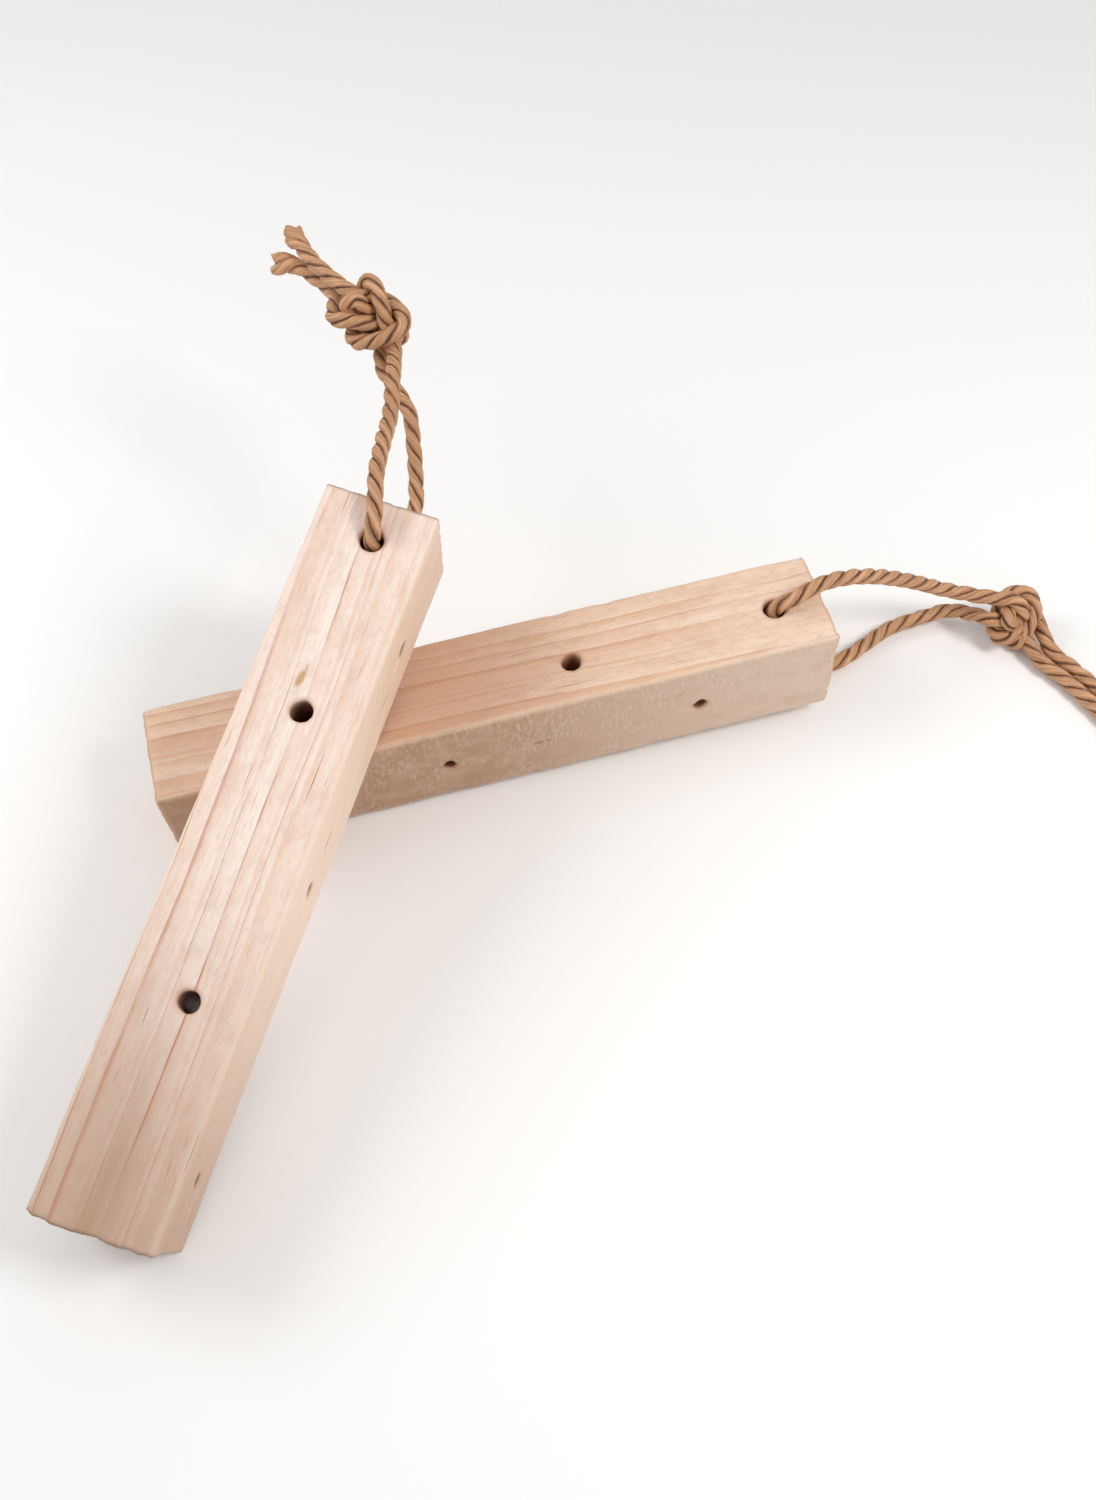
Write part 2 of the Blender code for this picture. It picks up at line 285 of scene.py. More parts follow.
KNOT_POINTS = 90
KNOT_SLACK = 0.170          # length of a strand before the knot is drawn tight
KNOT_REACH = 0.022          # how far the held ends stand from the knot's centre
KNOT_CORD = CORD_DIAMETER * 0.93        # a little thinner, as the plies bed into each other
KNOT_STEPS = 700
TREFOIL_REACH = 2.15        # range of the polynomial's parameter
TREFOIL_LENGTH = 31.5       # length of the polynomial's line over that range
STRAND_SPACING = CORD_DIAMETER * 0.62
LOOSE_SEGMENT = 0.0019      # distance between a strand's points, before and after
TIGHT_SEGMENT = 0.00098
SHRINK_STEPS = KNOT_STEPS * 0.85
PULL_STEPS = KNOT_STEPS * 0.3
SEARCH_EVERY = 10           # steps between searches for turns that may touch
SLACK_GAIN = 0.275
STRAIGHTEN_GAIN = 0.08
PUSH_GAIN = 1.4
SWING_RANGE = (-0.005, 0.008)          # where along the knot its tails swing aside
LEG_ROLL = radians(300)
TAIL_ROLL = radians(240)


def loose_overhand():
    """Two strands side by side along a loose overhand knot, a polynomial trefoil."""
    t = np.linspace(-TREFOIL_REACH, TREFOIL_REACH, 800)
    line = np.stack([t ** 3 - 3 * t, t ** 4 - 4 * t ** 2, (t ** 5 - 10 * t) / 6], axis=1)
    line[:, 1] -= line[:, 1].mean()
    line *= KNOT_SLACK / TREFOIL_LENGTH
    tangent = np.gradient(line, axis=0)
    tangent /= np.linalg.norm(tangent, axis=1)[:, None]
    normal = np.array([0.0, 0.0, 1.0]) - tangent[:, 2:] * tangent
    normal /= np.linalg.norm(normal, axis=1)[:, None]
    aside = np.cross(tangent, normal) * STRAND_SPACING
    strands = []
    for strand in (line + aside, line - aside):
        step = route_length(strand) / (KNOT_POINTS - 1)
        strands.append(evenly_spaced(strand, step)[:KNOT_POINTS])
    return np.concatenate(strands)


def spread(count, rows, moves):
    """Sum the moves of all points that share a row."""
    total = np.zeros((count, 3))
    np.add.at(total, rows, moves)
    return total


def draw_tight(diameter):
    """Shorten both strands between fixed ends until the knot's turns press on each other."""
    points = loose_overhand()
    count = len(points)
    strand = np.arange(count) // KNOT_POINTS
    place = np.arange(count) % KNOT_POINTS
    ends = np.array([0, KNOT_POINTS - 1, KNOT_POINTS, count - 1])
    inner = np.setdiff1d(np.arange(count), ends)
    first = np.setdiff1d(np.arange(count), ends[1::2])
    loose_ends = points[ends].copy()
    half = diameter / 2
    leg = np.array([0.0, sin(LEG_ROLL), cos(LEG_ROLL)]) * half
    tail = np.array([0.0, sin(TAIL_ROLL), cos(TAIL_ROLL)]) * half
    reach = np.array([KNOT_REACH, 0.0, 0.0])
    tied_ends = np.array([leg - reach, tail + reach, -leg - reach, reach - tail])
    for step in range(KNOT_STEPS):
        shrink = min(1.0, step / SHRINK_STEPS)
        segment = LOOSE_SEGMENT + (TIGHT_SEGMENT - LOOSE_SEGMENT) * shrink
        pull = min(1.0, step / PULL_STEPS)
        pull = pull * pull * (3 - 2 * pull)
        held = loose_ends + (tied_ends - loose_ends) * pull
        if step % SEARCH_EVERY == 0:
            gap = np.abs(place[:, None] - place[None, :])
            clear = max(2, ceil(1.5 * diameter / segment))
            near = np.linalg.norm(points[:, None] - points[None, :], axis=2) < 2.2 * diameter
            apart = (strand[:, None] != strand[None, :]) | (gap >= clear)
            left, right = np.nonzero(np.triu(near & apart, 1))
        for _ in range(4):
            edge = points[first + 1] - points[first]
            length = np.linalg.norm(edge, axis=1)
            slack = edge * (SLACK_GAIN * (length - segment) / length)[:, None]
            points += spread(count, first, slack) - spread(count, first + 1, slack)
            points[ends] = held
        between = (points[inner - 1] + points[inner + 1]) / 2
        points[inner] += STRAIGHTEN_GAIN * (between - points[inner])
        for _ in range(2):
            edge = points[right] - points[left]
            length = np.linalg.norm(edge, axis=1)
            touch = length < diameter
            push = edge[touch] * (0.5 * (diameter - length[touch]) / length[touch])[:, None]
            hits = np.bincount(np.r_[left[touch], right[touch]], minlength=count)
            moves = spread(count, right[touch], push) - spread(count, left[touch], push)
            points += PUSH_GAIN * moves / np.maximum(hits, 1)[:, None]
        points[ends] = held
    return points[:KNOT_POINTS], points[KNOT_POINTS:]


def place_knot(strands, centre, along, facing, roll, squash, bend, trims):
    """Turn the knot to run along one way and face another, and swing its tails aside.

    The trims say how far from the centre its legs and its tails hand over to the routes.
    """
    x = Vector(along).normalized()
    z = Vector(facing) - x * Vector(facing).dot(x)
    z.normalize()
    y = z.cross(x)
    axes = np.array([x, y, z])
    rolled = np.array([[1, 0, 0], [0, cos(roll), sin(roll)], [0, -sin(roll), cos(roll)]])
    placed = []
    for strand in strands:
        core = strand[(strand[:, 0] > -trims[0]) & (strand[:, 0] < trims[1])]
        run, across, out = ((core @ rolled) * squash).T
        swing = bend * soft_step(*SWING_RANGE, run)
        swung = np.stack([run * np.cos(swing) - across * np.sin(swing),
                          run * np.sin(swing) + across * np.cos(swing), out], axis=1)
        placed.append(swung @ axes + np.array(centre))
    return placed


def joined_route(leg, strand, tail, centre, clear):
    """A leg out of the bore, one strand of the knot and a tail, as one smooth line."""
    leg = [p for p in leg if np.linalg.norm(np.array(p) - centre) > clear[0]]
    tail = [p for p in tail if np.linalg.norm(np.array(p) - centre) > clear[1]]
    control = np.concatenate([np.array(leg), strand[::3], np.array(tail)])
    return evenly_spaced(smooth_route(control, 10), RING_STEP)


def nearest_pairing(ends, others):
    """Which of two others belongs to the first end, by the shorter sum of distances."""
    straight = np.linalg.norm(ends[0] - others[0]) + np.linalg.norm(ends[1] - others[1])
    crossed = np.linalg.norm(ends[0] - others[1]) + np.linalg.norm(ends[1] - others[0])
    return (0, 1) if straight <= crossed else (1, 0)


def cord_runs(loop_route, bore_point, tails, strands, centre, clear):
    """The cord's two runs, from bore to tip, each with its name and its tail's side."""
    centre = np.array(centre)
    legs = (loop_route[bore_point:], tuple(reversed(loop_route[:bore_point + 1])))
    leg_ends = [np.array(leg[-3]) for leg in legs]
    order = nearest_pairing(leg_ends, [strand[0] for strand in strands])
    strands = [strands[order[0]], strands[order[1]]]
    sides = ("left", "right")
    order = nearest_pairing([strand[-1] for strand in strands],
                            [np.array(tails[side][1]) for side in sides])
    runs = []
    for number, run_name in enumerate(("over", "under")):
        side = sides[order[number]]
        path = joined_route(legs[number], strands[number], tails[side], centre, clear)
        runs.append((run_name, side, path))
    return runs


# The cord's plies

def carried_frames(points):
    """Two directions square to a line, carried along it without twisting."""
    tangents = np.gradient(points, axis=0)
    tangents /= np.linalg.norm(tangents, axis=1)[:, None]
    normal = np.cross(tangents[0], (0.3, 0.5, 0.8))
    normals = []
    for tangent in tangents:
        normal = normal - tangent * normal.dot(tangent)
        normal = normal / np.linalg.norm(normal)
        normals.append(normal)
    normals = np.array(normals)
    return normals, np.cross(tangents, normals)


def laid_cord(name, path, matrix, flare, phase):
    """Three paper plies twisted round each other, opening a little at the cut end."""
    normals, sides = carried_frames(path)
    run = np.r_[0.0, np.cumsum(np.linalg.norm(np.diff(path, axis=0), axis=1))]
    to_tip = run[-1] - run
    opening = soft_step(TIP_OPENING, 0.0, to_tip) * flare
    rings = len(path)
    around = np.arange(RING_POINTS) * 2 * pi / RING_POINTS
    verts = []
    grooves = []
    faces = []
    uvs = []
    for ply in range(PLIES):
        angle = phase + ply * 2 * pi / PLIES - 2 * pi * run / LAY_PITCH
        outward = normals * np.cos(angle)[:, None] + sides * np.sin(angle)[:, None]
        reach = PLY_OFFSET * (1 + opening * (0.7 + 0.35 * ply))
        middle = path + outward * reach[:, None]
        ply_tangent = np.gradient(middle, axis=0)
        ply_tangent /= np.linalg.norm(ply_tangent, axis=1)[:, None]
        across = np.cross(ply_tangent, outward)
        across /= np.linalg.norm(across, axis=1)[:, None]
        out = np.cross(across, ply_tangent)
        twist = around[None, :] + 2 * pi * run[:, None] / FOLDS_PITCH
        folds = (0.045 * np.sin(5 * twist + ply) + 0.030 * np.sin(9 * twist + 2.1 * ply)
                 + 0.020 * np.sin(14 * twist - 1.3 * ply))
        lump = (0.05 * np.sin(2 * pi * run / 0.0087 + 2.3 * ply)
                + 0.03 * np.sin(2 * pi * run / 0.0031 + ply))
        radius = PLY_RADIUS * (1 + folds + lump[:, None]) * (1 + 0.22 * opening[:, None])
        wide = 1.08 + 0.25 * opening[:, None]
        ring = (middle[:, None, :] + out[:, None, :] * (radius * np.cos(around))[:, :, None] * 0.96
                + across[:, None, :] * (radius * np.sin(around) * wide)[:, :, None])
        # How deep each point lies between the plies, which sets the painted shade in the grooves.
        depth = np.linalg.norm(ring - path[:, None, :], axis=2)
        rim = PLY_OFFSET + PLY_RADIUS
        groove_shade = 1 - soft_step(0.66 * rim, 0.96 * rim, depth)
        base = ply * rings * RING_POINTS
        verts.append(ring.reshape(-1, 3))
        grooves.append(np.maximum(groove_shade, 0.0).ravel())
        for row in range(rings - 1):
            for column in range(RING_POINTS):
                following = (column + 1) % RING_POINTS
                a = base + row * RING_POINTS
                b = a + RING_POINTS
                faces.append((a + column, a + following, b + following, b + column))
                left = column / RING_POINTS
                right = (column + 1) / RING_POINTS
                low = run[row]
                high = run[row + 1]
                uvs += [(left, low), (right, low), (right, high), (left, high)]
        last = base + (rings - 1) * RING_POINTS
        faces.append(tuple(base + column for column in reversed(range(RING_POINTS))))
        faces.append(tuple(last + column for column in range(RING_POINTS)))
        uvs += [(0.5, 0.0)] * RING_POINTS + [(0.5, run[-1])] * RING_POINTS
    mesh = bpy.data.meshes.new(name)
    mesh.from_pydata(np.concatenate(verts).tolist(), [], faces)
    layer = mesh.uv_layers.new(name="lay")
    layer.data.foreach_set("uv", np.array(uvs, np.float32).ravel())
    shade = mesh.attributes.new("groove_shade", "FLOAT", "POINT")
    shade.data.foreach_set("value", np.concatenate(grooves).astype(np.float32))
    mesh.transform(matrix)
    mesh.shade_smooth()
    mesh.update()
    piece = bpy.data.objects.new(name, mesh)
    bpy.context.scene.collection.objects.link(piece)
    return piece


def make_cord(prefix, matrix, loop_route, bore_point, tails, knot, clear, flare, finish):
    """Both runs of a clave's cord, hung on the cord's own body."""
    strands = place_knot(**knot)
    runs = cord_runs(loop_route, bore_point, tails, strands, knot["centre"], clear)
    for number, (run_name, side, path) in enumerate(runs):
        piece = laid_cord(f"{prefix}_cord_{run_name}", path, matrix, flare, 1.1 * number)
        piece.data.materials.append(finish)
        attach(piece, prefix + "_cord")
        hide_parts(f"{prefix}_cord_loop", f"{prefix}_cord_knot",
                    f"{prefix}_cord_tail_{side}")


# Timber

RAISED_GRAIN = 0.000035
SCUFFS = 0.000040
BOW_OF_FACES = 0.00012
SAW_MARKS = 0.00016
SAW_RIDGES = 0.00010
ARRIS_WEAR = 0.00006
ARRIS_CHIPS = 0.00042
DARK_DEPTH = 0.004          # how far down a hole the painted shade turns fully dark
CORD_HOLE_RAGGED = 0.03
FACE_HOLE_RAGGED = 0.07
SIDE_HOLE_RAGGED = 0.11
SIDE_HOLE_STRETCH = 0.95
SLIVERS = ((-1, 0.0062, 0.0011), (1, 0.0050, 0.0009))     # side, length and width



def soft_noise(points, cell, seed):
    """Smooth noise from -1 to 1 on a seeded lattice, with its own cell size on each axis."""
    scaled = points / np.array(cell)
    base = np.floor(scaled).astype(int)
    part = scaled - base
    part = part * part * (3 - 2 * part)
    low = base.min(axis=0)
    base -= low
    lattice = np.random.default_rng(seed).uniform(-1, 1, base.max(axis=0) + 2)
    total = np.zeros(len(points))
    for corner in np.ndindex(2, 2, 2):
        corner = np.array(corner)
        weight = np.where(corner, part, 1 - part).prod(axis=1)
        total += weight * lattice[tuple((base + corner).T)]
    return total


def drill(place, diameter, axis, ragged, stretch, seed):
    """A drill's cutter across the bar: round inside, a little torn along the grain."""
    deselect_all()
    depth = BAR_SIDE + 2 * DRILL_SPARE
    turn = (0.0, 0.0, 0.0) if axis == "Z" else (pi / 2, 0.0, 0.0)
    bpy.ops.mesh.primitive_cylinder_add(vertices=32, radius=diameter / 2, depth=depth,
                                        location=place, rotation=turn)
    cutter = bpy.context.object
    bpy.ops.object.transform_apply(location=False, rotation=True, scale=False)
    bpy.ops.object.mode_set(mode="EDIT")
    bpy.ops.mesh.select_all(action="SELECT")
    bpy.ops.transform.resize(value=(stretch, 1.0, 1.0))
    bpy.ops.object.mode_set(mode="OBJECT")
    rng = np.random.default_rng(seed)
    waves = [(k, rng.uniform(0, 2 * pi), ragged / k) for k in (2, 3, 5)]
    for vertex in cutter.data.vertices:
        flat = vertex.co.xy if axis == "Z" else vertex.co.xz
        angle = np.arctan2(flat[1], flat[0])
        factor = 1 + sum(size * sin(k * angle + turn_by) for k, turn_by, size in waves)
        vertex.co.x *= factor
        if axis == "Z":
            vertex.co.y *= factor
        else:
            vertex.co.z *= factor
    return cutter


def countersink(place, diameter, flare, up):
    """A cone that opens a bore's mouth."""
    deselect_all()
    inner = diameter / 2
    height = flare + DRILL_SPARE
    radii = (inner, inner + height) if up else (inner + height, inner)
    shift = (DRILL_SPARE - flare) / 2 * (1 if up else -1)
    bpy.ops.mesh.primitive_cone_add(vertices=32, radius1=radii[0], radius2=radii[1], depth=height,
                                    location=(place[0], place[1], place[2] + shift))
    return bpy.context.object


def torn_sliver(along, side, length, width):
    """A shallow spindle that tears the fibres beside a side hole, along the grain."""
    deselect_all()
    place = (along - length * 0.45, side * HALF_SIDE, SIDE_HOLE_HEIGHT)
    bpy.ops.mesh.primitive_uv_sphere_add(segments=16, ring_count=10, radius=1.0, location=place,
                                         scale=(length / 2, 0.0006, width / 2))
    bpy.ops.object.transform_apply(location=False, rotation=False, scale=True)
    return bpy.context.object


def cut(bar, cutter):
    """Take the cutter's shape out of the bar and remove the cutter."""
    apply_modifier(bar, "BOOLEAN", operation="DIFFERENCE", solver="EXACT", object=cutter)
    bpy.data.objects.remove(cutter)


def sawn_blank(name):
    """A square bar with eased arrises."""
    deselect_all()
    bpy.ops.mesh.primitive_cube_add(size=1.0, location=(0.0, 0.0, HALF_SIDE),
                                    scale=(BAR_LENGTH, BAR_SIDE, BAR_SIDE))
    bar = bpy.context.object
    bar.name = name
    bpy.ops.object.transform_apply(location=True, rotation=True, scale=True)
    bpy.ops.object.mode_set(mode="EDIT")
    bpy.ops.mesh.select_all(action="SELECT")
    bpy.ops.mesh.bevel(offset=ARRIS_ROUND, segments=2, affect="EDGES")
    bpy.ops.object.mode_set(mode="OBJECT")
    return bar


def hole_masks(off):
    """Inside a hole, and at its rim, from the distance beyond its wall."""
    return soft_step(0.0007, 0.0003, off), soft_step(0.0011, 0.0001, off)


def hole_depths(points, cord_hole, face_holes, side_holes):
    """How deep each point lies inside a hole, for the painted shade there, and how close it is to
    a hole's rim.
    """
    depth = np.zeros(len(points))
    rim = np.zeros(len(points))
    below_face = np.minimum(points[:, 2], BAR_SIDE - points[:, 2])
    below_side = HALF_SIDE - np.abs(points[:, 1])
    holes = [(cord_hole, CORD_HOLE_DIAMETER)]
    holes += [(hole, FACE_HOLE_DIAMETER) for hole in face_holes]
    for (along, across), diameter in holes:
        off = np.hypot(points[:, 0] - along, points[:, 1] - across) - diameter / 2
        inside, edge = hole_masks(off)
        depth = np.maximum(depth, inside * below_face)
        rim = np.maximum(rim, edge)
    for along in side_holes:
        from_axis = np.hypot(points[:, 0] - along, points[:, 2] - SIDE_HOLE_HEIGHT)
        inside, edge = hole_masks(from_axis - SIDE_HOLE_DIAMETER / 2)
        depth = np.maximum(depth, inside * below_side * SIDE_HOLE_GLOOM)
        rim = np.maximum(rim, edge * soft_step(0.003, 0.0, below_side))
    return depth, rim


def weather(bar, cord_hole, face_holes, side_holes, torn_end, fuzz, seed):
    """Raise the grain, crumble the sawn ends, wear the arrises and note where it shows."""
    mesh = bar.data
    count = len(mesh.vertices)
    points = np.zeros(count * 3)
    mesh.vertices.foreach_get("co", points)
    points = points.reshape(-1, 3)
    normals = np.zeros(count * 3)
    mesh.vertex_normals.foreach_get("vector", normals)
    normals = normals.reshape(-1, 3)
    depth, rim = hole_depths(points, cord_hole, face_holes, side_holes)
    from_side = HALF_SIDE - np.abs(points[:, 1])
    from_face = np.minimum(points[:, 2], BAR_SIDE - points[:, 2])
    from_end = HALF_LENGTH - np.abs(points[:, 0])
    gaps = np.sort(np.stack([from_side, from_face, from_end]), axis=0)
    arris = soft_step(0.0013, 0.0002, gaps[1]) * soft_step(0.0012, 0.0, gaps[0])
    on_end = soft_step(0.0010, 0.0002, from_end)
    raised = RAISED_GRAIN * soft_noise(points, (0.014, 0.0012, 0.0012), seed)
    raised += SCUFFS * soft_noise(points, (0.003, 0.0025, 0.0025), seed + 1)
    bowed = BOW_OF_FACES * soft_noise(points, (0.05, 0.03, 0.03), seed + 2)
    sawn = SAW_MARKS * soft_noise(points, (0.004, 0.0013, 0.0013), seed + 3)
    sawn += SAW_RIDGES * soft_noise(points, (0.004, 0.0060, 0.0009), seed + 4)
    lift = (raised + bowed) * (1 - on_end) + sawn * on_end
    chips = np.maximum(0.0, soft_noise(points, (0.006, 0.0025, 0.0025), seed + 5) - 0.1)
    lift -= arris * (ARRIS_WEAR + ARRIS_CHIPS * chips)
    if fuzz:
        front = soft_step(0.0008, 0.0002, HALF_SIDE + points[:, 1])
        lift += front * fuzz * soft_noise(points, (0.0011, 0.002, 0.0024), seed + 6)
    moved = points + normals * lift[:, None]
    if torn_end:
        near = soft_step(0.016, 0.0, HALF_LENGTH + points[:, 0]) ** 3
        flat = points * np.array([0.0, 1.0, 1.0])
        broken = torn_end * soft_noise(flat, (1.0, 0.0052, 0.011), seed + 7)
        broken += 0.45 * torn_end * soft_noise(flat, (1.0, 0.0014, 0.0034), seed + 8)
        broken += 0.9 * torn_end * soft_step(HALF_SIDE - 0.0035, HALF_SIDE, points[:, 1])
        moved[:, 0] += near * np.maximum(-0.0002, broken)
    mesh.vertices.foreach_set("co", moved.ravel())
    # The depth attribute carries the painted shade inside the holes.
    for key, values in (("depth", np.clip(depth / DARK_DEPTH, 0, 1)), ("rim", rim),
                        ("arris", arris), ("end_cut", on_end)):
        attribute = mesh.attributes.new(key, "FLOAT", "POINT")
        attribute.data.foreach_set("value", values.astype(np.float32))
    mesh.shade_smooth()
    mesh.update()


def make_bar(name, body, matrix, cord_hole, face_holes, side_holes, torn_end, fuzz, seed,
             finish):
    """A drilled and weathered bar, hung on its body."""
    bar = sawn_blank(name)
    middle = HALF_SIDE
    cut(bar, drill((*cord_hole, middle), CORD_HOLE_DIAMETER, "Z", CORD_HOLE_RAGGED, 1.0, seed))
    for up in (True, False):
        mouth = (*cord_hole, BAR_SIDE if up else 0.0)
        cut(bar, countersink(mouth, CORD_HOLE_DIAMETER, CORD_HOLE_FLARE * 0.5, up))
    for number, (along, across) in enumerate(face_holes):
        place = (along, across, middle)
        cut(bar, drill(place, FACE_HOLE_DIAMETER, "Z", FACE_HOLE_RAGGED, 1.0, seed + number))
    for number, along in enumerate(side_holes):
        place = (along, 0.0, SIDE_HOLE_HEIGHT)
        cut(bar, drill(place, SIDE_HOLE_DIAMETER, "Y", SIDE_HOLE_RAGGED, SIDE_HOLE_STRETCH,
                       seed + 10 + number))
        for sliver in SLIVERS:
            cut(bar, torn_sliver(along, *sliver))
    apply_modifier(bar, "REMESH", mode="VOXEL", voxel_size=TIMBER_VOXEL, use_smooth_shade=True)
    weather(bar, cord_hole, face_holes, side_holes, torn_end, fuzz, seed)
    bar.data.transform(matrix)
    bar.data.update()
    bar.data.materials.clear()
    bar.data.materials.append(finish)
    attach(bar, body)
    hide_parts(name.replace("_timber", ""))


# Node helpers

def tone(code):
    """A linear colour from an sRGB hex code."""
    channels = [int(code[i:i + 2], 16) / 255 for i in (0, 2, 4)]
    linear = [c / 12.92 if c <= 0.04045 else ((c + 0.055) / 1.055) ** 2.4 for c in channels]
    return (*linear, 1.0)


# The Mix node's colour sockets, by number because their names repeat
MIX_FACTOR = 0
MIX_A = 6
MIX_B = 7
MIX_RESULT = 2


class Sheet:
    """A node tree that is filled node by node."""

    def __init__(self, tree):
        """Start on a material's tree or on a group's."""
        self.tree = tree

    def add(self, kind, inputs=None, out=0, **settings):
        """A new node, with its inputs linked or set; gives one of its outputs."""
        node = self.tree.nodes.new("ShaderNode" + kind)
        for key, value in settings.items():
            setattr(node, key, value)
        for key, value in (inputs or {}).items():
            socket = node.inputs[key]
            if isinstance(value, bpy.types.NodeSocket):
                self.tree.links.new(value, socket)
            else:
                socket.default_value = value
        return node.outputs[out]

    def math(self, operation, a, b=0.0):
        """Any operation of the Math node."""
        return self.add("Math", {0: a, 1: b}, operation=operation)

    def times(self, a, b):
        """Two values multiplied."""
        return self.math("MULTIPLY", a, b)

    def plus(self, a, b):
        """Two values added."""
        return self.math("ADD", a, b)

    def minus(self, a, b):
        """The second value taken from the first."""
        return self.math("SUBTRACT", a, b)

    def ease(self, value, low, high, to_low=0.0, to_high=1.0):
        """A smooth step from to_low at low to to_high at high."""
        return self.add("MapRange", {"Value": value, "From Min": low, "From Max": high,
                                     "To Min": to_low, "To Max": to_high},
                        interpolation_type="SMOOTHSTEP")

    def noise(self, vector, scale, detail=2.0, rough=0.5, warp=0.0):
        """Noise from 0 to 1."""
        return self.add("TexNoise", {"Vector": vector, "Scale": scale, "Detail": detail,
                                     "Roughness": rough, "Distortion": warp})

    def stretch(self, vector, scale, shift=(0.0, 0.0, 0.0)):
        """Coordinates with another scale on each axis."""
        return self.add("Mapping", {"Vector": vector, "Location": shift, "Scale": scale})

    def blend(self, factor, a, b):
        """Colour a, with as much of colour b over it as the factor says."""
        sockets = {MIX_FACTOR: factor, MIX_A: a, MIX_B: b}
        return self.add("Mix", sockets, out=MIX_RESULT, data_type="RGBA", blend_type="MIX")

    def split(self, vector):
        """The x, y and z of a vector."""
        node = self.tree.nodes.new("ShaderNodeSeparateXYZ")
        self.tree.links.new(vector, node.inputs[0])
        return node.outputs

    def attribute(self, name):
        """A value that the mesh carries at its points."""
        return self.add("Attribute", out="Fac", attribute_name=name)

    def link(self, value, socket):
        """Join a value to a socket of a node that is there already."""
        self.tree.links.new(value, socket)


def new_group(name, inputs, outputs):
    """An empty node group, and its inner input and output nodes."""
    tree = bpy.data.node_groups.new(name, "ShaderNodeTree")
    for socket_name, kind, value in inputs:
        socket = tree.interface.new_socket(socket_name, in_out="INPUT",
                                           socket_type="NodeSocket" + kind)
        if value is not None:
            socket.default_value = value
    for socket_name in outputs:
        tree.interface.new_socket(socket_name, in_out="OUTPUT", socket_type="NodeSocketFloat")
    entry = tree.nodes.new("NodeGroupInput")
    leave = tree.nodes.new("NodeGroupOutput")
    return tree, entry.outputs, leave.inputs


def use_group(sheet, tree, values):
    """Put a group on a sheet and link or set its inputs; gives its outputs."""
    first_output = sheet.add("Group", values, node_tree=tree)
    return first_output.node.outputs


# Effects shared by the finishes

def growth_rings_group():
    """Rings that darken towards a thin latewood line, each with its own strength and breaks."""
    tree, given, result = new_group(
        "growth_rings",
        [("Place", "Vector", None), ("Rings per metre", "Float", 380.0), ("Slope", "Float", 0.02),
         ("Bow", "Float", 3.0), ("Shift", "Float", 0.0)],
        ["Lines", "Bands", "Dashes"])
    s = Sheet(tree)
    place = given["Place"]
    x, y, z = s.split(place)
    slow = s.noise(s.stretch(place, (11.0, 22.0, 22.0)), 1.0, 1.0)
    slow = s.times(s.minus(slow, 0.5), 0.0060)
    quick = s.noise(s.stretch(place, (75.0, 330.0, 330.0)), 1.0, 2.0)
    quick = s.times(s.minus(quick, 0.5), 0.00042)
    bow = s.times(s.times(z, z), given["Bow"])
    radius = s.plus(y, s.times(x, given["Slope"]))
    radius = s.plus(s.plus(radius, bow), s.plus(slow, quick))
    count = s.times(s.plus(radius, given["Shift"]), given["Rings per metre"])
    uneven = s.add("TexNoise", {"W": count, "Scale": 0.43, "Detail": 1.0}, noise_dimensions="1D")
    count = s.plus(count, s.times(uneven, 2.6))
    ring = s.math("FLOOR", count)
    part = s.math("FRACT", count)
    strength = s.add("TexWhiteNoise", {"W": ring}, noise_dimensions="1D", out="Value")
    season = s.add("TexWhiteNoise", {"W": s.plus(ring, 0.5)}, noise_dimensions="1D",
                   out="Value")
    start = s.ease(season, 0.2, 1.0, 0.89, 0.76)
    line = s.times(s.ease(part, start, 0.955), s.ease(part, 1.0, 0.975))
    spread_out = s.add("CombineXYZ", {0: s.times(x, 26.0),
                                      1: s.times(ring, 7.7),
                                      2: s.times(z, 40.0)})
    breaks = s.noise(spread_out, 1.0, 3.0, 0.65)
    line = s.times(line, s.ease(strength, 0.18, 0.85, 0.06, 1.0))
    line = s.times(line, s.ease(breaks, 0.38, 0.60, 0.12, 1.0))
    s.link(line, result["Lines"])
    ramp = s.times(s.ease(part, 0.15, 1.0), 0.34)
    bands = s.noise(s.stretch(place, (9.0, 120.0, 60.0)), 1.0, 2.0, 0.55, 0.6)
    tint = s.plus(s.times(season, 0.24), s.times(bands, 0.70))
    s.link(s.ease(s.plus(tint, ramp), 0.25, 1.0), result["Bands"])
    dashes = s.noise(s.stretch(place, (85.0, 2300.0, 900.0)), 1.0, 1.0)
    rare = s.noise(s.stretch(place, (38.0, 120.0, 90.0), (3.1, 1.7, 0.4)), 1.0, 1.0)
    dashes = s.times(s.ease(dashes, 0.66, 0.76), s.ease(rare, 0.50, 0.66))
    s.link(dashes, result["Dashes"])
    return tree


